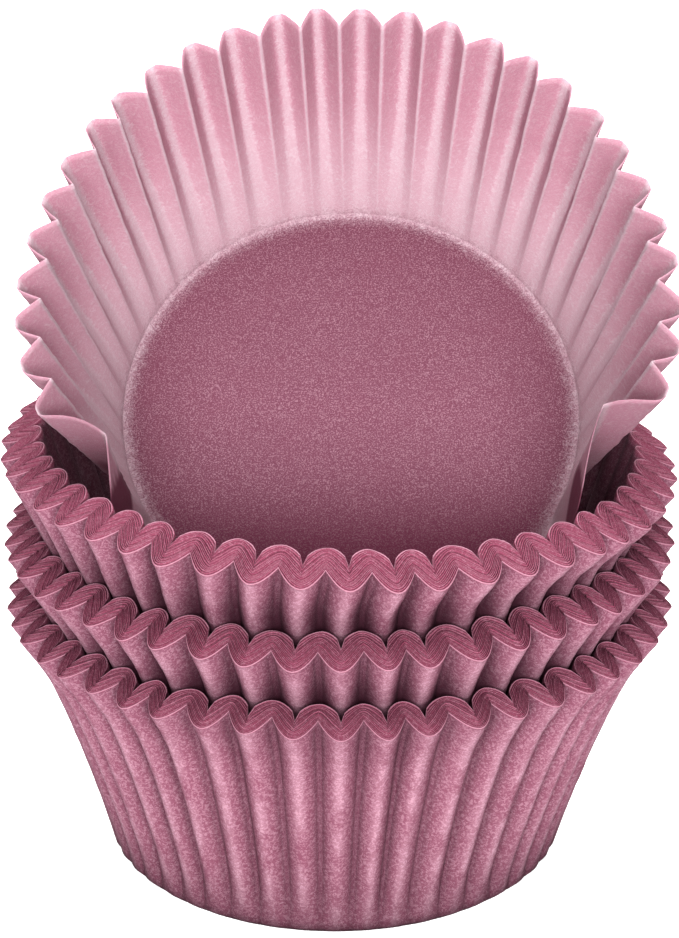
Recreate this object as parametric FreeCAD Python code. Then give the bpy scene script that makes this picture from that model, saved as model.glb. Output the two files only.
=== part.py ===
import FreeCAD, Part
import math
import os

# stack of cupcake liners: three tight packs nested one in another, and one loose liner on top
# millimetres, Z up, the bottom pack stands on Z = 0

doc = FreeCAD.newDocument("cupcake_liners")
sheet = doc.addObject("Spreadsheet::Sheet", "sizes")

SIZES = [
    ("flutes", 48, "flutes round every liner of the packs"),
    ("flute_wander", 0.10, "uneven spacing of the flutes, share of one pitch"),
    ("base_r", 25.0, "radius of the flat base of a liner"),
    ("foot_rise", 7.0, "height of the knee above the base"),
    ("foot_r", 27.0, "crest radius at the knee"),
    ("waist_rise", 23.5, "height of the upper bend above the base"),
    ("waist_r", 33.1, "crest radius at the upper bend"),
    ("rim_rise", 28.8, "height of the outer crests of the rim"),
    ("rim_r", 36.4, "radius of the outer crests of the rim"),
    ("foot_depth", 1.5, "depth of the flutes at the knee"),
    ("waist_depth", 2.1, "depth of the flutes at the upper bend"),
    ("rim_depth", 2.3, "depth of the flutes at the rim"),
    ("rim_slope", 0.55, "rise of the rim face for each millimetre inwards"),
    ("rim_face_rise", 2.4, "rise of the whole rim face"),
    ("crest_share", 0.30, "half width of an outer crest, share of half a pitch"),
    ("inner_share", 0.36, "half width of a broad inner crest, share of half a pitch"),
    ("notch_share", 0.07, "half width of a sharp notch, share of half a pitch"),
    ("nest_gap", 0.30, "clearance between a pack and the pack in it"),
    ("foot_ease", 0.50, "more clearance round the foot of the pack in it"),
    ("middle_step", 7.5, "height of the middle pack above the bottom pack"),
    ("top_step", 8.6, "height of the top pack above the middle pack"),
    ("top_turn", 1.3, "turn of the top pack's rim against its foot, degrees"),
    ("top_lean", 0.044, "fall of the top pack's rim to the right, for each millimetre"),
    ("bottom_shift", 0.5, "how far the foot of the bottom pack sits to the left"),
    ("floor_pile", 2.0, "thickness of the piled floors of a pack"),
    ("cavity_step", 9.6, "height above the top pack that one more pack would take"),
    ("loose_flutes", 43, "flutes round the loose liner"),
    ("loose_sheet", 0.35, "thickness of the loose liner's wall"),
    ("loose_floor_r", 25.7, "radius of the loose liner's floor"),
    ("loose_rise", 32.0, "height of the loose liner's outer crests"),
    ("loose_r", 33.3, "radius of the loose liner's outer crests"),
    ("loose_depth", 2.7, "depth of the loose liner's flutes at the rim"),
    ("loose_tilt", 44.0, "lean of the loose liner to the front, degrees"),
    ("loose_roll", -0.87, "lean of the loose liner to the side, degrees"),
    ("loose_x", 1.27, "middle of the loose liner's floor"),
    ("loose_y", 13.0, "middle of the loose liner's floor"),
    ("loose_z", 44.4, "middle of the loose liner's floor"),
    ("loose_turn", 0.8, "turn of the loose liner about its own axis, degrees"),
    ("loose_splay", 1.2, "how far the loose rim spreads at the sides, where it enters the pack"),
    ("press_gap", 0.60, "clearance between the pressed front and the cavity that holds it"),
    ("press_depth", 6.5, "depth of the pressed front rim under the mouth of the cavity"),
    ("press_sag", 5.0, "how far the pressed front sags in the middle of its length"),
    ("press_start", 0.42, "share of the way to the front where the pressing begins"),
    ("press_full", 0.55, "share of the way to the front where the pressing is full"),
]
for row, (alias, value, note) in enumerate(SIZES, start=1):
    sheet.set("A%d" % row, alias)
    sheet.set("B%d" % row, str(value))
    sheet.set("C%d" % row, note)
    sheet.setAlias("B%d" % row, alias)
doc.recompute()


def size(alias):
    value = sheet.get(alias)
    return float(getattr(value, "Value", value))


def flute_middles(count, turn=0.0):
    # angles of the crests, unevenly spaced by a smooth wander
    pitch = 2.0 * math.pi / count
    wander = size("flute_wander")
    out = []
    for k in range(count + 1):
        i = k % count
        shift = wander * (0.6 * math.sin(2.4 * i) + 0.4 * math.sin(5.1 * i + 1.0))
        out.append(pitch * (k + shift) - math.pi / 2.0 + math.radians(turn))
    return out


def ring(middles, crest_r, valley_r, crest_z, valley_z, crest_w, valley_w):
    # four corners to a flute: two on the crest and two on the valley after it
    points = []
    for k in range(len(middles) - 1):
        here = middles[k]
        before = middles[k - 1] if k else middles[-2] - 2.0 * math.pi
        after = middles[k + 1]
        mid = 0.5 * (here + after)
        half = 0.5 * (after - here)
        for angle, r, z in (
            (here - crest_w * 0.5 * (here - before), crest_r, crest_z),
            (here + crest_w * half, crest_r, crest_z),
            (mid - valley_w * half, valley_r, valley_z),
            (mid + valley_w * half, valley_r, valley_z),
        ):
            points.append((r * math.cos(angle), r * math.sin(angle), z))
    return points


def vectors(points):
    return [FreeCAD.Vector(*p) for p in points]


def skin(lower, upper, turned=False):
    # flat triangles between two rings with the same number of corners; turned takes the other
    # diagonal, so that the inside of a thin wall runs parallel to its outside
    faces = []
    n = len(lower)
    for i in range(n):
        j = (i + 1) % n
        a, b, c, d = lower[i], lower[j], upper[j], upper[i]
        halves = ((a, b, d), (b, c, d)) if turned else ((a, b, c), (a, c, d))
        for corners in halves:
            v = vectors(corners)
            if (v[1] - v[0]).cross(v[2] - v[0]).Length > 1e-7:
                faces.append(Part.Face(Part.makePolygon(v + [v[0]])))
    return faces


def flat(points):
    v = vectors(points)
    return Part.Face(Part.makePolygon(v + [v[0]]))


def closed_solid(outer, inner):
    # outer rings run up from the underside to the rim, inner rings from the rim down to the floor
    faces = [flat(outer[0]), flat(inner[-1])] + skin(outer[-1], inner[0])
    for lower, upper in zip(outer, outer[1:]):
        faces += skin(lower, upper)
    for upper, lower in zip(inner, inner[1:]):
        faces += skin(upper, lower, turned=True)
    shell = Part.Shell(faces)
    if not shell.isClosed():
        shell.sewShape()
        shell = shell.Shells[0]
    solid = Part.Solid(shell)
    if solid.Volume < 0:
        solid.reverse()
    return solid


def crest_radius(rise):
    # outer crest line of a liner: base, knee, upper bend, rim
    knots = [
        (0.0, size("base_r")),
        (size("foot_rise"), size("foot_r")),
        (size("waist_rise"), size("waist_r")),
        (size("rim_rise"), size("rim_r")),
    ]
    return along(knots, rise)


def flute_depth(rise):
    knots = [
        (0.0, 0.0),
        (size("foot_rise"), size("foot_depth")),
        (size("waist_rise"), size("waist_depth")),
        (size("rim_rise"), size("rim_depth")),
    ]
    return along(knots, rise)


def along(knots, at):
    # straight between the knots, and carried on past the last one
    for (z0, v0), (z1, v1) in zip(knots, knots[1:]):
        if at <= z1 or (z1, v1) == knots[-1]:
            return v0 + (v1 - v0) * (at - z0) / (z1 - z0)


def lift_share():
    # share of the flute's depth by which a sharp notch has to clear the broad crest in it:
    # once at the corner of the crest in the notch, once at the corner of the inner crest
    sharp = size("notch_share")
    crest = size("crest_share")
    inner = size("inner_share")
    at_crest = (crest - sharp) / (1.0 - inner - sharp)
    at_inner = 1.0 - (1.0 - inner - crest) / (1.0 - crest - sharp)
    return max(at_crest, at_inner)


def seat_radius(rise):
    # notch radius of a cavity that clears the outside of a pack at this height of that pack
    return crest_radius(rise) + lift_share() * flute_depth(rise) + size("nest_gap")


def moved(points, share, shift, lean):
    # slide to the left by shift, and lower the right side by lean
    out = []
    for x, y, z in points:
        out.append((x - shift * share, y, z - lean * x))
    return out


def pack_shape(step, shift, turn, lean):
    # one tight pack; its cavity takes a pack that stands higher by step
    count = int(round(size("flutes")))
    middles = flute_middles(count)
    rim_middles = flute_middles(count, turn)
    broad = size("crest_share")
    inner_broad = size("inner_share")
    sharp = size("notch_share")
    top = size("rim_rise")
    outer = []
    for rise in (0.0, size("foot_rise"), size("waist_rise")):
        r = crest_radius(rise)
        points = ring(middles, r, r - flute_depth(rise), rise, rise, broad, sharp)
        outer.append(moved(points, 1.0 - rise / top, shift, 0.0))
    # the rim face lies square to the wall, so it rises inwards
    r = size("rim_r")
    depth = size("rim_depth")
    slope = size("rim_slope")
    points = ring(rim_middles, r, r - depth, top, top + slope * depth, broad, sharp)
    outer.append(moved(points, 0.0, shift, lean))
    meet = top + size("rim_face_rise") - step
    notch = seat_radius(meet)
    depth = flute_depth(meet)
    low = top + slope * (r - notch)
    points = ring(rim_middles, notch, notch - depth, low, low + slope * depth, sharp, inner_broad)
    inner = [moved(points, 0.0, shift, lean)]
    for rise in (size("foot_rise"), 0.0):
        notch = seat_radius(rise) + size("foot_ease")
        level = rise + step
        crest = notch - flute_depth(rise)
        inner.append(ring(middles, notch, crest, level, level, sharp, inner_broad))
    floor_z = size("floor_pile")
    floor_r = size("base_r") - floor_z
    inner.append(ring(middles, floor_r, floor_r, floor_z, floor_z, sharp, inner_broad))
    return closed_solid(outer, inner)


def add_pack(label, step, rise, shift=0.0, turn=0.0, lean=0.0):
    part = doc.addObject("Part::Feature", label)
    part.Label = label
    part.Shape = pack_shape(step, shift, turn, lean)
    part.Placement = FreeCAD.Placement(FreeCAD.Vector(0, 0, rise), FreeCAD.Rotation())
    return part


middle_rise = size("middle_step")
top_rise = middle_rise + size("top_step")
bottom_pack = add_pack("bottom_pack", size("middle_step"), 0.0, shift=size("bottom_shift"))
middle_pack = add_pack("middle_pack", size("top_step"), middle_rise)
top_pack = add_pack(
    "top_pack", size("cavity_step"), top_rise, turn=size("top_turn"), lean=size("top_lean")
)


def cavity_line():
    # two points of the inner crest line of the top pack's cavity, as radius and height
    foot = size("foot_rise")
    low = (seat_radius(foot) + size("foot_ease") - flute_depth(foot), foot + size("cavity_step"))
    meet = size("rim_rise") + size("rim_face_rise") - size("cavity_step")
    notch = seat_radius(meet)
    high = (notch - flute_depth(meet), size("rim_rise") + size("rim_slope") * (size("rim_r") - notch))
    return [(r, z + top_rise) for r, z in (low, high)]


def eased(value, low, high):
    x = min(1.0, max(0.0, (value - low) / (high - low)))
    return x * x * (3.0 - 2.0 * x)


loose_place = FreeCAD.Placement(
    FreeCAD.Vector(size("loose_x"), size("loose_y"), size("loose_z")),
    FreeCAD.Rotation(FreeCAD.Vector(0, 1, 0), size("loose_roll"))
    * FreeCAD.Rotation(FreeCAD.Vector(1, 0, 0), size("loose_tilt")),
)


def pressed(point, share):
    # the front of the wall goes down into the cavity: its rim follows the cavity's wall, while
    # the sides of the rim spread a little; the move grows along the flute, so flutes stay straight
    x, y, z = point
    angle = math.atan2(y, x)
    front = -math.sin(angle)
    out = size("loose_splay") * share * eased(front, -0.35, 0.25)
    x += out * math.cos(angle)
    y += out * math.sin(angle)
    down = eased(front, size("press_start"), size("press_full"))
    if down == 0.0:
        return (x, y, z)
    reach = size("loose_r") + size("loose_splay")
    rim = loose_place.multVec(
        FreeCAD.Vector(reach * math.cos(angle), reach * math.sin(angle), size("loose_rise"))
    )
    (r0, z0), (r1, z1) = cavity_line()
    deep = z1 - size("press_depth")
    held = r0 + (r1 - r0) * (deep - z0) / (z1 - z0) - size("press_gap")
    far = math.hypot(rim.x, rim.y)
    k = 1.0 + (held / far - 1.0) * down ** 0.5
    drop = (deep - rim.z) * down ** 1.5 * share - 4.0 * size("press_sag") * share * (1 - share) * down
    moved_to = loose_place.multVec(FreeCAD.Vector(x, y, z)) + FreeCAD.Vector(
        rim.x * (k - 1.0) * share, rim.y * (k - 1.0) * share, drop
    )
    back = loose_place.inverse().multVec(moved_to)
    return (back.x, back.y, back.z)


def loose_shape():
    # one open liner of thin paper, its front pressed into the pack that holds it
    middles = flute_middles(int(round(size("loose_flutes"))), size("loose_turn"))
    broad = size("crest_share")
    sheet_t = size("loose_sheet")
    floor_r = size("loose_floor_r")
    rise = size("loose_rise")
    out_r = size("loose_r")
    depth = size("loose_depth")

    def level(share, inset, lift):
        r = floor_r + (out_r - floor_r) * share - inset
        d = depth * share
        z = rise * share + lift
        points = ring(middles, r, r - d, z, z + 0.3 * d, broad, broad)
        return [pressed(p, share) for p in points]

    outer = [level(0.0, 0.0, 0.0), level(0.5, 0.0, 0.0), level(1.0, 0.0, 0.0)]
    inner = [level(1.0, sheet_t, 0.0), level(0.5, sheet_t, 0.0), level(0.0, sheet_t, sheet_t)]
    return closed_solid(outer, inner)


loose_liner = doc.addObject("Part::Feature", "loose_liner")
loose_liner.Label = "loose_liner"
loose_liner.Shape = loose_shape()
loose_liner.Placement = loose_place

doc.recompute()
nodes = [bottom_pack, middle_pack, top_pack, loose_liner]
for node in nodes:
    if "Invalid" in node.State or "Error" in node.State:
        raise RuntimeError("bad state: " + node.Label)
    if node.Shape.isNull() or not node.Shape.isValid():
        raise RuntimeError("bad shape: " + node.Label)

os.makedirs("parts", exist_ok=True)
for node in nodes:
    node.Shape.exportStep("parts/%s.step" % node.Label)
    print(node.Label, len(node.Shape.Faces), round(node.Shape.Volume, 1), node.Shape.BoundBox)
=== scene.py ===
import math
from types import SimpleNamespace

import bpy
import numpy as np
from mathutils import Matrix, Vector


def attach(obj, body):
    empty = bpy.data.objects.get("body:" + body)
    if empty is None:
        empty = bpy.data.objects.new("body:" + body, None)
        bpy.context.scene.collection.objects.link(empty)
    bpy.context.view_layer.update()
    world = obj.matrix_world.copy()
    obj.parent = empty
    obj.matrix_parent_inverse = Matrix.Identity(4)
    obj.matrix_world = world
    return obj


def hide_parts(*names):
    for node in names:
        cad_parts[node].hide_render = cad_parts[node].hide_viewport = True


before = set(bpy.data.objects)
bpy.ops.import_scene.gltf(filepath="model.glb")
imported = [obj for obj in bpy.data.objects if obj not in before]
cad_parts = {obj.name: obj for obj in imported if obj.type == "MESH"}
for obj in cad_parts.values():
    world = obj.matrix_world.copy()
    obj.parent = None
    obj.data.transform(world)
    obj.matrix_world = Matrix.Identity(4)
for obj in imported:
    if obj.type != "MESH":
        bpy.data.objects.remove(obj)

# stack of cupcake liners: three tight packs nested one in another, and one open liner leaning in the top pack
# sizes are in metres in the settings and in millimetres inside the shape functions
bl_info = {
    "name": "Cupcake liner stack",
    "version": (1, 0, 0),
    "blender": (4, 5, 0),
    "location": "View3D > Sidebar > Liners",
    "description": "Builds nested packs of pleated paper liners, one loose liner and a plain studio",
    "category": "Add Mesh",
}

MM = 0.001
SEED = 7

# columns of points in each flute
PACK_STEPS = 12
LOOSE_STEPS = 16

# shape constants in millimetres, shares or slopes
PACK_LENGTHS = ("base_r", "foot_rise", "foot_r", "waist_rise", "waist_r", "rim_rise", "rim_r",
                "foot_depth", "waist_depth", "rim_depth")
FOOT_HEIGHTS = (0.05, 0.35, 0.9, 1.8, 3.0, 4.5)
KNEE_TOP = 6.2
WALL_ROWS = 21
FLOOR_SHARES = (0.25, 0.5, 0.75, 0.9, 0.965)
LOOSE_FOOT_SHARES = (0.0, 0.012, 0.03, 0.055)
LOOSE_WALL_FROM = 0.09
LOOSE_WALL_ROWS = 30
RIM_SLOPE = 0.55
SLOPE_FROM = 18.0
WALL_INSET = 0.06
RIM_INSET = 0.03
SHEET_INSET = 0.17
NOTCH_DEPTH = 2.15
GROOVE_DEPTH = 0.12
OUTER_GROOVE_DEPTH = 0.30
OUTER_GROOVES = 3
CAVITY_ROWS = 9
FLOOR_PILE = 2.0
BOTTOM_SHIFT = 0.5
TOP_CAVITY_STEP = 9.6
TOP_LEAN = 0.044

# turns about the upright axis in degrees
TOP_TURN = 1.3
LOOSE_TURN = 0.8

# marks that the paper's materials read
GROOVE_MARK = 0.4
RIDGE_MARK = 0.75
CAVITY_LEVEL = 2.0

# sizes of the marks in the paper, in metres
# real fibres are too fine to show in the picture, so the marks are drawn coarser than they are
WISP_SIZE = 0.9 * MM
FLECK_SIZE = 0.30 * MM
CLOUD_SIZE = 5.0 * MM
GRAIN_SIZE = 0.15 * MM
FIBRE_HEIGHT = 0.10 * MM

# node settings: a smooth step, and a mix of two colours with its inputs and its output
SMOOTH = {"interpolation_type": "SMOOTHSTEP"}
COLOURS = {"data_type": "RGBA", "out": 2}
SHARE = 0
FIRST = 6
SECOND = 7

# the viewpoint in millimetres and degrees, and the picture rows that one millimetre covers at the aim
CAMERA_REACH = 310.0
CAMERA_ELEVATION = 21.9
CAMERA_AIM_Z = 43.1
ROWS_PER_MM = 9.249
PICTURE_ROWS = 938.0

# soft lamps, each with its place and size in metres and its power in watts, all turned to one point
LIGHT_AIM = (0.0, 0.0, 0.04)
LIGHTS = (
    ("key", (0.0, -0.75, 0.26), (0.50, 0.35), 12.0),
    ("top", (0.0, -0.05, 0.80), (0.60, 0.60), 5.0),
    ("back", (0.0, 0.50, 0.50), (0.9, 0.6), 10.0),
)
ROOM_LIGHT = 0.30
FLOOR_GLOW = 0.62

# heights between which the shade between two nested rims, and on the pressed front, fades
GAP_SHADE = (22.5, 27.5)
HELD_SHADE = (43.5, 50.0)


def srgb(code):
    # colour code to linear light, with full cover
    out = []
    for i in (1, 3, 5):
        c = int(code[i:i + 2], 16) / 255.0
        out.append(c / 12.92 if c <= 0.04045 else ((c + 0.055) / 1.055) ** 2.4)
    return (*out, 1.0)


def length(name, description, millimetres):
    return bpy.props.FloatProperty(
        name=name,
        description=description,
        default=millimetres * MM,
        min=0.0,
        precision=5,
        unit="LENGTH",
        subtype="DISTANCE",
    )


def colour(name, description, code):
    return bpy.props.FloatVectorProperty(
        name=name,
        description=description,
        default=srgb(code),
        min=0.0,
        max=1.0,
        size=4,
        subtype="COLOR",
    )


class LinerSettings(bpy.types.PropertyGroup):
    flutes: bpy.props.IntProperty(
        name="Flutes", description="Flutes round every packed liner", default=48, min=12
    )
    sheets: bpy.props.IntProperty(
        name="Sheets", description="Sheet edges drawn in every rim", default=15, min=3
    )
    base_r: length("Base radius", "Radius of the flat base", 25.0)
    foot_rise: length("Knee height", "Height of the knee above the base", 7.0)
    foot_r: length("Knee radius", "Crest radius at the knee", 27.0)
    waist_rise: length("Bend height", "Height of the upper bend above the base", 23.5)
    waist_r: length("Bend radius", "Crest radius at the upper bend", 33.1)
    rim_rise: length("Rim height", "Height of the outer crests of the rim", 28.8)
    rim_r: length("Rim radius", "Radius of the outer crests of the rim", 36.4)
    foot_depth: length("Knee flute depth", "Depth of the flutes at the knee", 1.5)
    waist_depth: length("Bend flute depth", "Depth of the flutes at the upper bend", 2.1)
    rim_depth: length("Rim flute depth", "Depth of the flutes at the rim", 2.3)
    bottom_wall: length("Bottom pack thickness", "Rim thickness of the bottom pack", 1.9)
    middle_wall: length("Middle pack thickness", "Rim thickness of the middle pack", 2.35)
    top_wall: length("Top pack thickness", "Rim thickness of the top pack", 2.7)
    middle_step: length("Middle step", "Height of the middle pack above the bottom pack", 7.5)
    top_step: length("Top step", "Height of the top pack above the middle pack", 8.6)
    loose_flutes: bpy.props.IntProperty(
        name="Loose flutes", description="Flutes round the loose liner", default=43, min=12
    )
    loose_floor_r: length("Loose floor radius", "Radius of the loose liner's floor", 25.7)
    loose_rise: length("Loose height", "Height of the loose liner's outer crests", 32.0)
    loose_r: length("Loose rim radius", "Radius of the loose liner's outer crests", 33.3)
    loose_depth: length("Loose flute depth", "Depth of the loose liner's flutes", 2.7)
    loose_sheet: length("Sheet thickness", "Drawn thickness of the loose sheet", 0.12)
    loose_x: bpy.props.FloatProperty(
        name="Loose X", description="Middle of the loose floor", default=0.00127, unit="LENGTH"
    )
    loose_y: bpy.props.FloatProperty(
        name="Loose Y", description="Middle of the loose floor", default=0.013, unit="LENGTH"
    )
    loose_z: bpy.props.FloatProperty(
        name="Loose Z", description="Middle of the loose floor", default=0.0444, unit="LENGTH"
    )
    loose_tilt: bpy.props.FloatProperty(
        name="Loose lean",
        description="Lean of the loose liner to the front",
        default=math.radians(44.0),
        unit="ROTATION",
        subtype="ANGLE",
    )
    loose_roll: bpy.props.FloatProperty(
        name="Loose side lean",
        description="Lean of the loose liner to the side",
        default=math.radians(-0.87),
        unit="ROTATION",
        subtype="ANGLE",
    )
    splay: length("Splay", "How far the loose rim spreads at its sides", 1.2)
    held_r: length("Held radius", "Radius to which the hidden front rim is pressed", 28.75)
    held_z: length("Held height", "Height to which the hidden front rim is pressed", 39.9)
    sag: length("Sag", "How far the pressed front sags", 5.0)
    wall_colour: colour("Wall paper", "Paper of the packs' walls", "#8F5267")
    # pale paper at the crests and cut edges: partly worn paper, partly a painted highlight
    pale_and_highlight_colour: colour("Worn paper", "Paper where the pleats are pressed pale", "#CB9AAB")
    edge_colour: colour("Cut edges", "Piled cut edges in the rims", "#8C4259")
    inside_colour: colour("Loose wall", "Wall of the loose liner", "#DFA6B9")
    pale_colour: colour("Loose pale", "Pale fibres on the loose liner", "#F2DCE4")
    floor_colour: colour("Loose floor", "Floor of the loose liner", "#854C61")
    fleck_colour: colour("Floor flecks", "Pale flecks on the floor of the loose liner", "#D6A9B7")
    # painted shade of the loose sheet: in its folds, on its front below the pack's rim and on the lower half
    # of its floor
    painted_sheet_shade: colour("Loose folds", "Tint of the thin sheet deep in its folds", "#64203A")
    # painted shade of the packs: in the folds, the cavities, towards the base and between nested rims
    painted_shade_colour: colour("Deep folds", "Tint of the paper deep in the folds", "#2A0C18")


# shapes

def crest_angles(count, turn=0.0):
    # angles of the crests, unevenly spaced by a smooth wander
    k = np.arange(count + 1)
    i = k % count
    shift = 0.10 * (0.6 * np.sin(2.4 * i) + 0.4 * np.sin(5.1 * i + 1.0))
    return 2.0 * math.pi / count * (k + shift) - math.pi / 2.0 + math.radians(turn)


def columns(count, steps):
    # for each column: its flute, share of the way to the next crest, distance from the nearer crest
    k = np.repeat(np.arange(count), steps)
    v = np.tile(np.arange(steps) / steps, count)
    return k, v, np.where(v < 0.5, 2.0 * v, 2.0 * (1.0 - v))


def angles(crests, k, v):
    return crests[k] + v * (crests[k + 1] - crests[k])


def per_flute(values, k, v):
    # a value for each flute, carried smoothly from one crest to the next
    after = np.roll(values, -1)
    return values[k] + smooth(v, 0.0, 1.0) * (after[k] - values[k])


def round_crest(u):
    # rounded on the outer crest, sharp in the valley
    return np.clip(np.cos(0.5 * math.pi * u), 0.0, 1.0) ** 0.95


def sharp_notch(u):
    # sharp on the outer crest, rounded in the valley
    return 1.0 - np.sqrt(np.clip(1.0 - (1.0 - u) ** 2, 0.0, 1.0)) ** 0.9


def open_flute(u):
    # open liner: narrow flat crest, slightly full flanks, sharp fold between two flutes
    x = np.clip((0.98 - u) / 0.76, 0.0, 1.0)
    return x ** 0.88 * (1.0 - 0.06 * smooth(x, 0.8, 1.0)) / 0.94


def smooth(at, low, high):
    x = np.clip((at - low) / (high - low), 0.0, 1.0)
    return x * x * (3.0 - 2.0 * x)


def waves(rng, theta, count, low, high):
    # sum of gentle waves round the circle, between -1 and 1
    out = np.zeros_like(theta)
    for _ in range(count):
        n = rng.integers(low, high)
        out += np.sin(n * theta + rng.uniform(0, 2 * math.pi))
    return out / count


def soft_profile(knots, at):
    # monotone smooth curve through the knots
    z = np.array([p[0] for p in knots], float)
    r = np.array([p[1] for p in knots], float)
    h = np.diff(z)
    d = np.diff(r) / h
    m = np.concatenate([[d[0]], 2.0 * d[:-1] * d[1:] / (d[:-1] + d[1:]), [d[-1]]])
    i = np.clip(np.searchsorted(z, at) - 1, 0, len(h) - 1)
    s = (at - z[i]) / h[i]
    return (
        (1 + 2 * s) * (1 - s) ** 2 * r[i]
        + s * (1 - s) ** 2 * h[i] * m[i]
        + s * s * (3 - 2 * s) * r[i + 1]
        + s * s * (s - 1) * h[i] * m[i + 1]
    )


def lattice(name, rows, marks):
    # closed skin over rows of the same number of points, with a middle point at each end
    n = len(rows[0])
    m = len(rows)
    points = np.concatenate(rows)
    faces = []
    for a in range(m - 1):
        i = np.arange(n) + a * n
        j = np.roll(np.arange(n), -1) + a * n
        faces.append(np.stack([i, j, j + n, i + n], -1))
    quads = np.concatenate(faces)
    first = points[:n].mean(0)
    last = points[-n:].mean(0)
    points = np.concatenate([points, [first, last]])
    ring = np.arange(n)
    after = np.roll(ring, -1)
    low = np.stack([after, ring, np.full(n, m * n)], -1)
    high = np.stack([ring + (m - 1) * n, after + (m - 1) * n, np.full(n, m * n + 1)], -1)
    mesh = bpy.data.meshes.new(name)
    mesh.from_pydata((points * MM).tolist(), [], quads.tolist() + low.tolist() + high.tolist())
    mesh.polygons.foreach_set("use_smooth", np.ones(len(mesh.polygons), bool))
    for key, values in marks.items():
        values = np.concatenate([np.concatenate(values), [values[0].mean(), values[-1].mean()]])
        layer = mesh.attributes.new(key, "FLOAT", "POINT")
        layer.data.foreach_set("value", values.astype(np.float32))
    mesh.update()
    obj = bpy.data.objects.new(name, mesh)
    bpy.context.scene.collection.objects.link(obj)
    return obj


def pack_sizes(s, wall, step, turn, seed):
    # sizes in millimetres, the columns' angles, and how uneven the flutes are
    k, v, u = columns(s.flutes, PACK_STEPS)
    p = SimpleNamespace(u=u, wall=wall, step=step, sheets=s.sheets)
    for key in PACK_LENGTHS:
        setattr(p, key, getattr(s, key) / MM)
    p.rng = np.random.default_rng(SEED + seed)
    p.amount = per_flute(p.rng.uniform(0.86, 1.0, s.flutes), k, v)
    p.uneven = per_flute(p.rng.uniform(-0.16, 0.16, s.flutes), k, v)
    p.foot_angle = angles(crest_angles(s.flutes), k, v)
    p.rim_angle = angles(crest_angles(s.flutes, turn), k, v)
    p.outer_shape = round_crest(u)
    p.inner_shape = sharp_notch(u)
    return p


def pack_wall(p, nested, add):
    # outer sheet, from the foot to just below the rim
    top = p.rim_rise
    knots = [(0.0, p.base_r), (p.foot_rise, p.foot_r), (p.waist_rise, p.waist_r), (top, p.rim_r)]
    depths = [(0.0, 0.05), (p.foot_rise, p.foot_depth), (p.waist_rise, p.waist_depth), (top, p.rim_depth)]
    heights = np.concatenate([FOOT_HEIGHTS, np.linspace(KNEE_TOP, top - 0.5, WALL_ROWS), [top - 0.08]])
    for rise in heights:
        round_off = 0.75 * (1.0 - smooth(rise, 0.0, 1.1)) ** 2
        radius = float(soft_profile(knots, rise)) - round_off
        depth = float(soft_profile(depths, rise)) * p.amount
        # the pleats bed together with small sideways waves and creases
        crease = 0.05 * waves(p.rng, p.foot_angle, 5, 20, 90) * smooth(rise, 0.5, 5.0)
        r = radius - depth * (1.0 - p.outer_shape) - WALL_INSET + crease
        r = np.minimum(r, radius)
        z = rise + (RIM_SLOPE * (radius - r) + p.uneven) * smooth(rise, SLOPE_FROM, top) * (rise > SLOPE_FROM)
        # painted shade mark, low on a nested wall where it goes in behind the rim below
        gap = 1.0 - smooth(rise, *GAP_SHADE) if nested else 0.0
        add(r, np.maximum(z, 0.02), smooth(rise, p.waist_rise, top), 0.0, rise / top, gap)


def pack_rim(p, add):
    # the cut edges of the sheets, each a small ridge between two grooves
    depth_out = p.rim_depth * p.amount
    depth_in = NOTCH_DEPTH * p.amount
    wave = 0.5 + 0.5 * np.cos(math.pi * p.u)
    last = p.sheets - 1
    for i in range(p.sheets):
        stand = p.rng.uniform(-0.08, 0.10)
        deep = OUTER_GROOVE_DEPTH if i < OUTER_GROOVES else GROOVE_DEPTH
        # outermost and innermost edges get the palest lines, partly pale cut edges, partly a painted
        # highlight
        bright = 1.0 if i in (0, last) else p.rng.uniform(0.82, 0.94)
        ragged = 0.06 * waves(p.rng, p.rim_angle, 5, 3, 30) + 0.04 * waves(p.rng, p.rim_angle, 4, 40, 160)
        drift = 0.16 * waves(p.rng, p.rim_angle, 4, 6, 60) if 0 < i < last else 0.0
        if i == 0:
            stand = 0.0
            ragged = 0.0
        start = (0.04, -deep) if i else (0.0, 0.0)
        for part, height in (start, (0.30, 0.08), (0.66, 0.10), (0.92, -deep)):
            share = (i + part + drift) / p.sheets
            # rounded crests outside, an even wave in the middle, sharp notches inside
            shape = (wave + (p.outer_shape - wave) * np.clip(1.0 - share, 0.0, 1.0) ** 2.5
                     + (p.inner_shape - wave) * np.clip(share, 0.0, 1.0) ** 2.5)
            r = p.rim_r - RIM_INSET - (p.wall - RIM_INSET) * share
            r = r - (depth_out + (depth_in - depth_out) * share) * (1.0 - shape)
            up = height + stand + ragged
            z = p.rim_rise + RIM_SLOPE * (p.rim_r - r) + p.uneven + 0.89 * up
            if height < 0:
                mark = GROOVE_MARK
            else:
                mark = bright if part < 0.5 or i == last else RIDGE_MARK
            add(np.minimum(r + 0.3 * up, p.rim_r), z, 1.0, mark, 1.0 + i / p.sheets)


def pack_cavity(p, add):
    # inner sheet, from the rim down to the seat of the next pack and the pile of floors
    notch = p.rim_r - p.wall
    low = p.rim_rise + RIM_SLOPE * (p.rim_r - notch)
    seat = p.foot_r + 0.46 * p.foot_depth + 0.8
    for share in np.linspace(0.06, 1.0, CAVITY_ROWS):
        rise = low + (p.step + p.foot_rise - low) * share
        r0 = notch + (seat - notch) * share - 0.02
        depth = NOTCH_DEPTH + (p.foot_depth - NOTCH_DEPTH) * share
        r = r0 - depth * p.amount * (1.0 - p.inner_shape)
        z = rise + RIM_SLOPE * (r0 - r) * (1.0 - share)
        add(r, z, 1.0 - smooth(share, 0.0, 0.5), 0.0, CAVITY_LEVEL)
    add(p.base_r + 0.7 + 0.0 * p.u, p.step + 0.0 * p.u, 0, 0.0, CAVITY_LEVEL)
    add(p.base_r - 2.0 + 0.0 * p.u, FLOOR_PILE + 0.0 * p.u, 0, 0.0, CAVITY_LEVEL)


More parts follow.
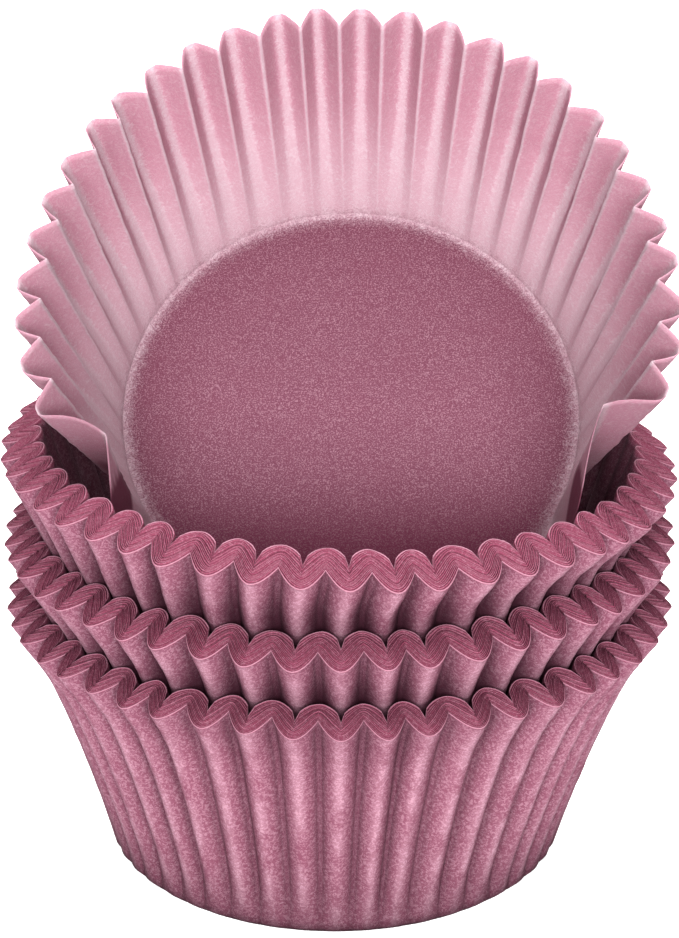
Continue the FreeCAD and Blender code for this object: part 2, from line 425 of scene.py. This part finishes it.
def pack(s, node, rise0, wall, step, turn=0.0, lean=0.0, shift=0.0, seed=0):
    # one tight pack: fluted outer sheet, a rim of piled cut edges, and a fluted cavity
    p = pack_sizes(s, wall, step, turn, seed)
    flat = np.zeros(len(p.u))
    rows = []
    marks = {"rim": [], "crest": [], "level": [], "gap": []}

    def add(r, z, swing, rim, level, gap=0.0):
        # swing is how much of the rim's turn and lean the ring has
        theta = p.foot_angle + (p.rim_angle - p.foot_angle) * swing
        x = r * np.cos(theta) - shift * (1.0 - np.clip(z / p.rim_rise, 0.0, 1.0))
        y = r * np.sin(theta)
        rows.append(np.stack([x, y, z - lean * x * swing + rise0], -1))
        marks["crest"].append(1.0 - p.u)
        for key, value in (("rim", rim), ("level", level), ("gap", gap)):
            marks[key].append(value + flat)

    add(p.base_r * 0.5 + flat, flat, 0, 0, 0)
    add(p.base_r - 0.9 + flat, flat, 0, 0, 0)
    pack_wall(p, rise0 > 0.0, add)
    pack_rim(p, add)
    pack_cavity(p, add)
    obj = lattice(node + "_paper", rows, marks)
    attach(obj, "root")
    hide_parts(node)
    return obj


def loose_rings(s, rng, k, v, u, theta):
    # middle of the loose sheet before it leans; level runs from below 0 on the floor to 1 at the rim
    floor_r = s.loose_floor_r / MM
    rise = s.loose_rise / MM
    out_r = s.loose_r / MM
    amount = per_flute(rng.uniform(0.86, 1.0, s.loose_flutes), k, v)
    tip = per_flute(rng.uniform(-0.5, 0.0, s.loose_flutes), k, v)
    shape = np.minimum(open_flute(u), 1.0)
    splay = s.splay / MM * smooth(-np.sin(theta), -0.35, 0.25)
    rings = []
    levels = []
    for share in FLOOR_SHARES:
        ripple = 0.03 * waves(rng, theta, 4, 2, 8)
        rings.append((floor_r * share + 0 * theta, SHEET_INSET + ripple))
        levels.append(share - 1.0)
    for share in np.concatenate([LOOSE_FOOT_SHARES, np.linspace(LOOSE_WALL_FROM, 1.0, LOOSE_WALL_ROWS)]):
        depth = s.loose_depth / MM * share ** 0.92 * amount
        bow = 0.35 * math.sin(math.pi * share) * waves(rng, theta, 3, 2, 7) * 0.5
        r = floor_r + (out_r - floor_r) * share - SHEET_INSET - depth * (1.0 - shape) + bow * share
        r = np.minimum(r, out_r - RIM_INSET) + splay * share
        z = (rise + tip) * share + 0.3 * depth * (1.0 - shape)
        rings.append((r, z + SHEET_INSET * (1.0 - share)))
        levels.append(share)
    points = [np.stack([r * np.cos(theta), r * np.sin(theta), z + 0 * theta], -1) for r, z in rings]
    return np.array(points), levels


def two_skins(points, thick):
    # the sheet's outer skin from the floor up, then its inner skin from the rim down
    along = np.gradient(points, axis=0)
    around = np.roll(points, -1, axis=1) - np.roll(points, 1, axis=1)
    normal = np.cross(around, along)
    normal /= np.linalg.norm(normal, axis=2, keepdims=True) + 1e-12
    return list(points + normal * thick * 0.5) + list((points - normal * thick * 0.5)[::-1])


def leaned(s, row):
    # turns the loose liner about its floor's middle and puts it in its place
    ct, st = math.cos(s.loose_tilt), math.sin(s.loose_tilt)
    cr, sr = math.cos(s.loose_roll), math.sin(s.loose_roll)
    y = row[:, 1] * ct - row[:, 2] * st
    z = row[:, 1] * st + row[:, 2] * ct
    x = row[:, 0] * cr + z * sr
    z = z * cr - row[:, 0] * sr
    return np.stack([x, y, z], -1) + np.array([s.loose_x, s.loose_y, s.loose_z]) / MM


def loose(s):
    # one thin sheet: flat floor, fluted wall, its hidden front pressed in by the pack
    rng = np.random.default_rng(SEED + 50)
    k, v, u = columns(s.loose_flutes, LOOSE_STEPS)
    theta = angles(crest_angles(s.loose_flutes, LOOSE_TURN), k, v)
    points, levels = loose_rings(s, rng, k, v, u, theta)
    rows = two_skins(points, s.loose_sheet / MM)
    levels = levels + levels[::-1]
    # the front goes down into the cavity, its rim along the cavity's wall
    reach = (s.loose_r + s.splay) / MM
    rim = np.stack([reach * np.cos(theta), reach * np.sin(theta), s.loose_rise / MM + 0 * theta], -1)
    rim = leaned(s, rim)
    front = -np.sin(theta)
    down = smooth(front, 0.42, 0.55)
    hidden = smooth(front, 0.36, 0.43)
    inward = (s.held_r / MM / np.hypot(rim[:, 0], rim[:, 1]) - 1.0) * down ** 0.5
    fall = (s.held_z / MM - rim[:, 2]) * down ** 1.5
    placed = []
    front_shade = []
    for row, at in zip(rows, levels):
        share = np.clip(at, 0.0, 1.0)
        sagged = -4.0 * s.sag / MM * share * (1.0 - share) * down
        move = np.stack([rim[:, 0] * inward * share, rim[:, 1] * inward * share, fall * share + sagged], -1)
        placed.append(leaned(s, row) + move)
        # little light reaches the paper below the pack's rim and the lower half of the floor
        below = hidden * smooth(at, 0.3, 0.7) * (1.0 - smooth(placed[-1][:, 2], *HELD_SHADE))
        floor = 0.5 * smooth(front * np.clip(1.0 + at, 0.0, 1.0), 0.05, 0.95)
        front_shade.append(np.maximum(below, floor))
    marks = {"level": [at + 0 * theta for at in levels], "crest": [1.0 - u] * len(levels), "front_shade": front_shade}
    obj = lattice("loose_liner_paper", placed, marks)
    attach(obj, "root")
    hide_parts("loose_liner")
    return obj


# materials

def new_material(name):
    material = bpy.data.materials.new(name)
    material.use_nodes = True
    material.node_tree.nodes.clear()
    return material


def node(tree, kind, inputs=None, out=0, **settings):
    # adds a node with its settings; each input takes a value, or a link from another node's output
    made = tree.nodes.new("ShaderNode" + kind)
    for key, value in settings.items():
        setattr(made, key, value)
    for key, value in (inputs or {}).items():
        if isinstance(value, bpy.types.NodeSocket):
            tree.links.new(value, made.inputs[key])
        else:
            made.inputs[key].default_value = value
    return made.outputs[out] if len(made.outputs) else None


def fibre_marks(tree):
    # the paper's own look: long wisps, short flecks, soft clouds
    where = node(tree, "TexCoord", out="Object")
    wisps = node(tree, "TexNoise", {"Vector": where, "Scale": 1.0 / WISP_SIZE, "Detail": 4.0,
                                    "Roughness": 0.7, "Distortion": 3.0}, out="Fac")
    flecks = node(tree, "TexNoise", {"Vector": where, "Scale": 1.0 / FLECK_SIZE, "Detail": 2.0,
                                     "Roughness": 0.8, "Distortion": 0.8}, out="Fac")
    clouds = node(tree, "TexNoise", {"Vector": where, "Scale": 1.0 / CLOUD_SIZE, "Detail": 2.0,
                                     "Roughness": 0.6}, out="Fac")
    return wisps, flecks, clouds


def speckled(tree, pale, marks):
    # adds each mark's share to the pale paper, up to wholly pale
    for mark, low, high, amount in marks:
        more = node(tree, "MapRange", {"Value": mark, "From Min": low, "From Max": high,
                                       "To Max": amount}, **SMOOTH)
        pale = node(tree, "Math", {0: pale, 1: more}, operation="ADD")
    return node(tree, "Math", {0: pale, 1: 1.0}, operation="MINIMUM")


def paper_surface(tree, base, shade, height, dark, glow, reach, low, high):
    # greaseproof paper: matt, fibrous, lets a little light through; deep folds get a painted shade from an
    # occlusion mask
    open_to_air = node(tree, "AmbientOcclusion", {"Distance": reach}, out="AO", samples=3)
    clear = node(tree, "MapRange", {"Value": open_to_air, "From Min": low, "From Max": high}, **SMOOTH)
    painted_shade_base = node(tree, "Mix", {SHARE: dark, FIRST: base, SECOND: shade}, **COLOURS)
    base = node(tree, "Mix", {SHARE: clear, FIRST: painted_shade_base, SECOND: base}, **COLOURS)
    bump = node(tree, "Bump", {"Strength": 0.7, "Distance": FIBRE_HEIGHT, "Height": height})
    skin = node(tree, "BsdfPrincipled", {"Base Color": base, "Roughness": 0.72, "IOR": 1.5,
                                         "Specular IOR Level": 0.12, "Normal": bump})
    through = node(tree, "BsdfTranslucent", {"Color": base})
    surface = node(tree, "MixShader", {0: glow, 1: skin, 2: through})
    node(tree, "OutputMaterial", {"Surface": surface})


def pack_wall_colour(s, tree, wisps, flecks, clouds):
    # walls and cavities of the packs: crests worn pale with a painted highlight, painted shade in the
    # valleys, the cavities, towards the base and between nested rims
    crest = node(tree, "Attribute", out="Fac", attribute_name="crest")
    # crests pale: partly worn paper, partly a painted highlight
    worn_and_highlight = node(tree, "MapRange", {"Value": crest, "From Min": 0.50, "From Max": 1.0,
                                   "To Max": 0.48}, **SMOOTH)
    patchy = node(tree, "MapRange", {"Value": clouds, "From Min": 0.30, "From Max": 0.60}, **SMOOTH)
    pale = node(tree, "Math", {0: worn_and_highlight, 1: patchy}, operation="MULTIPLY")
    pale = speckled(tree, pale, ((wisps, 0.52, 0.64, 0.18), (flecks, 0.47, 0.60, 0.52)))
    wall = node(tree, "Mix", {SHARE: pale, FIRST: s.wall_colour, SECOND: s.pale_and_highlight_colour}, **COLOURS)
    # painted shade deep in the valleys of the flutes
    valley = node(tree, "MapRange", {"Value": crest, "From Min": 0.02, "From Max": 0.45,
                                     "To Min": 0.25, "To Max": 0.0}, **SMOOTH)
    wall = node(tree, "Mix", {SHARE: valley, FIRST: wall, SECOND: s.painted_shade_colour}, **COLOURS)
    # painted shade towards the base of the wall and inside the cavity
    level = node(tree, "Attribute", out="Fac", attribute_name="level")
    foot = node(tree, "MapRange", {"Value": level, "From Min": 0.0, "From Max": 0.75,
                                   "To Min": 0.22, "To Max": 0.0}, **SMOOTH)
    cavity = node(tree, "MapRange", {"Value": level, "From Min": CAVITY_LEVEL - 0.05,
                                     "From Max": CAVITY_LEVEL, "To Max": 0.55}, **SMOOTH)
    shade_share = node(tree, "Math", {0: foot, 1: cavity}, operation="MAXIMUM")
    # hardly any light comes between two nested rims, most of it to the crests
    unlit = node(tree, "MapRange", {"Value": crest, "From Min": 0.2, "From Max": 0.9,
                                    "To Min": 0.85, "To Max": 0.3825}, **SMOOTH)
    nested = node(tree, "Attribute", out="Fac", attribute_name="gap")
    gap = node(tree, "Math", {0: nested, 1: unlit}, operation="MULTIPLY")
    shade_share = node(tree, "Math", {0: shade_share, 1: gap}, operation="MAXIMUM")
    return node(tree, "Mix", {SHARE: shade_share, FIRST: wall, SECOND: s.painted_shade_colour}, **COLOURS)


def pack_paper(s):
    # dyed greaseproof paper pressed into pleats: crests worn pale with a painted highlight, piled cut edges
    # more saturated with pale lines, partly painted highlight
    material = new_material("dyed_greaseproof_paper_pack")
    tree = material.node_tree
    wisps, flecks, clouds = fibre_marks(tree)
    wall = pack_wall_colour(s, tree, wisps, flecks, clouds)
    grain = node(tree, "MapRange", {"Value": flecks, "From Min": 0.48, "From Max": 0.62,
                                    "To Max": 0.24}, **SMOOTH)
    edges = node(tree, "Mix", {SHARE: grain, FIRST: s.edge_colour, SECOND: s.pale_and_highlight_colour}, **COLOURS)
    rim = node(tree, "Attribute", out="Fac", attribute_name="rim")
    on_rim = node(tree, "MapRange", {"Value": rim, "From Min": 0.1, "From Max": GROOVE_MARK}, **SMOOTH)
    base = node(tree, "Mix", {SHARE: on_rim, FIRST: wall, SECOND: edges}, **COLOURS)
    # pale lines on the ridges of the cut edges: partly pale cut edges, partly a painted highlight
    lines = node(tree, "MapRange", {"Value": rim, "From Min": 0.80, "From Max": 1.0,
                                    "To Max": 0.50}, **SMOOTH)
    base = node(tree, "Mix", {SHARE: lines, FIRST: base, SECOND: s.pale_and_highlight_colour}, **COLOURS)
    height = node(tree, "Math", {0: wisps, 1: flecks}, operation="ADD")
    paper_surface(tree, base, s.painted_shade_colour, height, dark=0.85, glow=0.10, reach=8.0 * MM,
                  low=0.18, high=0.88)
    return material


def loose_wall_colour(s, tree, level, wisps, flecks):
    # flanks of the flutes stay saturated; crest and notch lines are pale, partly pressed paper and partly a
    # painted highlight
    crest = node(tree, "Attribute", out="Fac", attribute_name="crest")
    near_floor = node(tree, "MapRange", {"Value": level, "From Min": 0.1, "From Max": 0.75,
                                         "To Min": 1.0, "To Max": 0.0}, **SMOOTH)
    widened = node(tree, "Math", {0: near_floor, 1: 0.35, 2: crest}, operation="MULTIPLY_ADD")
    ragged = node(tree, "Math", {0: wisps, 1: 0.5, 2: widened}, operation="MULTIPLY_ADD")
    groove = node(tree, "MapRange", {"Value": ragged, "From Min": 0.91, "From Max": 1.21,
                                     "To Max": 0.64}, **SMOOTH)
    ridge = node(tree, "MapRange", {"Value": crest, "From Min": 0.02, "From Max": 0.10,
                                    "To Min": 0.64, "To Max": 0.0}, **SMOOTH)
    pale = node(tree, "Math", {0: groove, 1: ridge}, operation="MAXIMUM")
    foot = node(tree, "Math", {0: near_floor, 1: 0.512}, operation="MULTIPLY")
    pale = node(tree, "Math", {0: pale, 1: foot}, operation="MAXIMUM")
    pale = speckled(tree, pale, ((wisps, 0.48, 0.64, 0.35), (flecks, 0.50, 0.66, 0.25)))
    return node(tree, "Mix", {SHARE: pale, FIRST: s.inside_colour, SECOND: s.pale_colour}, **COLOURS)


def loose_floor_colour(s, tree, grain, clouds):
    # the flat floor: darker paper with pale grains and a few cloudy patches
    light = node(tree, "MapRange", {"Value": grain, "From Min": 0.48, "From Max": 0.64,
                                    "To Max": 0.58}, **SMOOTH)
    floor = node(tree, "Mix", {SHARE: light, FIRST: s.floor_colour, SECOND: s.fleck_colour}, **COLOURS)
    cloudy = node(tree, "MapRange", {"Value": clouds, "From Min": 0.45, "From Max": 0.7,
                                     "To Max": 0.15}, **SMOOTH)
    return node(tree, "Mix", {SHARE: cloudy, FIRST: floor, SECOND: s.wall_colour}, **COLOURS)


def loose_paper(s):
    # one sheet of the same paper: pale fluted wall that glows a little, darker flat floor; painted shade on
    # its front below the pack's rim and on the lower half of the floor
    material = new_material("dyed_greaseproof_paper_sheet")
    tree = material.node_tree
    wisps, flecks, clouds = fibre_marks(tree)
    where = node(tree, "TexCoord", out="Object")
    grain = node(tree, "TexNoise", {"Vector": where, "Scale": 1.0 / GRAIN_SIZE, "Detail": 2.0,
                                    "Roughness": 0.8, "Distortion": 0.3}, out="Fac")
    level = node(tree, "Attribute", out="Fac", attribute_name="level")
    wall = loose_wall_colour(s, tree, level, wisps, flecks)
    floor = loose_floor_colour(s, tree, grain, clouds)
    # frayed border between floor and wall
    fray = node(tree, "Math", {0: grain, 1: 0.6, 2: wisps}, operation="MULTIPLY_ADD")
    frayed = node(tree, "Math", {0: fray, 1: 0.16, 2: level}, operation="MULTIPLY_ADD")
    border = node(tree, "MapRange", {"Value": frayed, "From Min": 0.048, "From Max": 0.178}, **SMOOTH)
    base = node(tree, "Mix", {SHARE: border, FIRST: floor, SECOND: wall}, **COLOURS)
    # painted shade on the front below the pack's rim and on the lower half of the floor
    pressed = node(tree, "Attribute", out="Fac", attribute_name="front_shade")
    front_shade = node(tree, "MapRange", {"Value": pressed, "From Min": 0.03, "From Max": 0.5,
                                   "To Max": 0.90}, **SMOOTH)
    base = node(tree, "Mix", {SHARE: front_shade, FIRST: base, SECOND: s.painted_sheet_shade}, **COLOURS)
    height = node(tree, "Math", {0: wisps, 1: flecks}, operation="ADD")
    paper_surface(tree, base, s.painted_sheet_shade, height, dark=0.60, glow=0.42, reach=14.0 * MM,
                  low=0.10, high=0.75)
    return material


def white_stage():
    # matt white card; towards the object it throws back only part of the light
    material = new_material("white_card")
    tree = material.node_tree
    card = node(tree, "BsdfDiffuse", {"Color": (0.96, 0.96, 0.96, 1.0)})
    lift = node(tree, "Emission", {"Strength": FLOOR_GLOW})
    bright = node(tree, "AddShader", {0: card, 1: lift})
    back = node(tree, "BsdfDiffuse", {"Color": (0.30, 0.28, 0.29, 1.0)})
    seen = node(tree, "LightPath", out="Is Camera Ray")
    surface = node(tree, "MixShader", {0: seen, 1: back, 2: bright})
    node(tree, "OutputMaterial", {"Surface": surface})
    return material


def clothe(obj, material):
    obj.data.materials.clear()
    obj.data.materials.append(material)


# operators

class LINERS_OT_packs(bpy.types.Operator):
    """Builds the three nested packs"""

    bl_idname = "liners.packs"
    bl_label = "Build packs"

    def execute(self, context):
        s = context.scene.liner_settings
        middle = s.middle_step / MM
        top = s.top_step / MM
        # each cavity's seat lies one step above its pack's own base
        made = [
            pack(s, "bottom_pack", 0.0, s.bottom_wall / MM, middle, shift=BOTTOM_SHIFT, seed=1),
            pack(s, "middle_pack", middle, s.middle_wall / MM, top, seed=2),
            pack(s, "top_pack", middle + top, s.top_wall / MM, TOP_CAVITY_STEP,
                 turn=TOP_TURN, lean=TOP_LEAN, seed=3),
        ]
        material = pack_paper(s)
        for obj in made:
            clothe(obj, material)
        return {"FINISHED"}


class LINERS_OT_loose(bpy.types.Operator):
    """Builds the single open liner"""

    bl_idname = "liners.loose"
    bl_label = "Build loose liner"

    def execute(self, context):
        s = context.scene.liner_settings
        clothe(loose(s), loose_paper(s))
        return {"FINISHED"}


def area_light(name, place, size, watts):
    data = bpy.data.lights.new(name, "AREA")
    data.shape = "RECTANGLE"
    data.size = size[0]
    data.size_y = size[1]
    data.energy = watts
    obj = bpy.data.objects.new(name, data)
    bpy.context.scene.collection.objects.link(obj)
    turn_to(obj, place, LIGHT_AIM)


def turn_to(obj, place, aim):
    obj.location = place
    obj.rotation_euler = (Vector(aim) - Vector(place)).to_track_quat("-Z", "Y").to_euler()


class LINERS_OT_stage(bpy.types.Operator):
    """Adds the white floor, soft lights and the camera"""

    bl_idname = "liners.stage"
    bl_label = "Build stage"

    def execute(self, context):
        scene = context.scene
        bpy.ops.mesh.primitive_plane_add(size=6.0, location=(0, 0, 0))
        floor = context.object
        floor.name = "floor"
        clothe(floor, white_stage())
        world = bpy.data.worlds.new("white_room")
        scene.world = world
        world.use_nodes = True
        tree = world.node_tree
        tree.nodes.clear()
        seen = node(tree, "LightPath", out="Is Camera Ray")
        light = node(tree, "Background", {"Color": (1, 1, 1, 1), "Strength": ROOM_LIGHT})
        white = node(tree, "Background", {"Color": (1, 1, 1, 1), "Strength": 1.0})
        room = node(tree, "MixShader", {0: seen, 1: light, 2: white})
        node(tree, "OutputWorld", {"Surface": room})
        for name, lamp_place, size, watts in LIGHTS:
            area_light(name, lamp_place, size, watts)
        camera_data = bpy.data.cameras.new("camera")
        camera = bpy.data.objects.new("camera", camera_data)
        scene.collection.objects.link(camera)
        scene.camera = camera
        reach = CAMERA_REACH * MM
        high = math.radians(CAMERA_ELEVATION)
        target = (0.0, 0.0, CAMERA_AIM_Z * MM)
        place = (0.0, -reach * math.cos(high), target[2] + reach * math.sin(high))
        turn_to(camera, place, target)
        camera_data.lens = ROWS_PER_MM * CAMERA_REACH * camera_data.sensor_width / PICTURE_ROWS
        camera_data.clip_start = 0.01
        scene.view_settings.view_transform = "Standard"
        return {"FINISHED"}


class LINERS_PT_panel(bpy.types.Panel):
    """Sizes and colours of the liner stack"""

    bl_idname = "LINERS_PT_panel"
    bl_label = "Cupcake liners"
    bl_space_type = "VIEW_3D"
    bl_region_type = "UI"
    bl_category = "Liners"

    def draw(self, context):
        s = context.scene.liner_settings
        for key in LinerSettings.__annotations__:
            self.layout.prop(s, key)
        for idname in ("liners.packs", "liners.loose", "liners.stage"):
            self.layout.operator(idname)


CLASSES = (LinerSettings, LINERS_OT_packs, LINERS_OT_loose, LINERS_OT_stage, LINERS_PT_panel)


def register():
    for cls in CLASSES:
        bpy.utils.register_class(cls)
    bpy.types.Scene.liner_settings = bpy.props.PointerProperty(type=LinerSettings)


def unregister():
    del bpy.types.Scene.liner_settings
    for cls in reversed(CLASSES):
        bpy.utils.unregister_class(cls)


def main():
    register()
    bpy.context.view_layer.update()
    bpy.ops.liners.packs()
    bpy.ops.liners.loose()
    bpy.ops.liners.stage()


if __name__ == "__main__":
    main()
